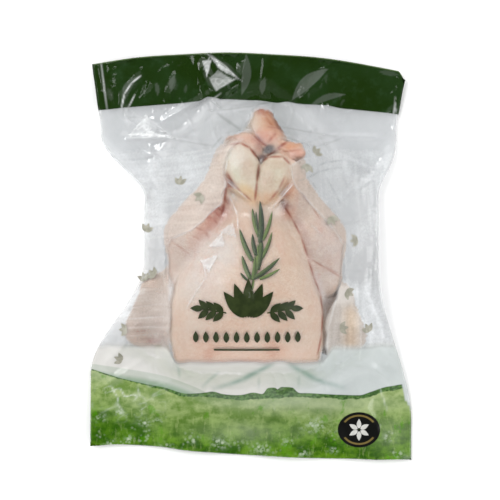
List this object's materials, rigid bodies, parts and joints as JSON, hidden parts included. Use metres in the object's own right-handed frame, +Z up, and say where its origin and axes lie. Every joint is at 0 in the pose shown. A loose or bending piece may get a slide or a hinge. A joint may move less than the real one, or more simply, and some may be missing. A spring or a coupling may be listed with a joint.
{
  "type": "whole raw chicken in a sealed bag",
  "caption": "Whole raw chicken lying breast up with its legs tucked, drawn tight in a clear sealed bag with a rosemary sprig and printed end bands.",
  "frame": {"origin": "on the surface the bag lies on, under the middle of the bag", "axes": "+Z up through the breast, +Y from the bird's neck end towards its tail and the bag's header, +X across the bag to the right"},
  "size_m": [0.32, 0.4056, 0.112],
  "materials": {
    "clear_film": "clear glossy film drawn over the bird",
    "header_print": "dark green print on glossy film",
    "chicken_skin": "moist pale pink raw skin",
    "rosemary": "satin green needles",
    "emblem_print": "olive print on glossy film"
  },
  "bodies": {
    "root": {"sealed_bag": "clear_film"}
  },
  "joints": []
}
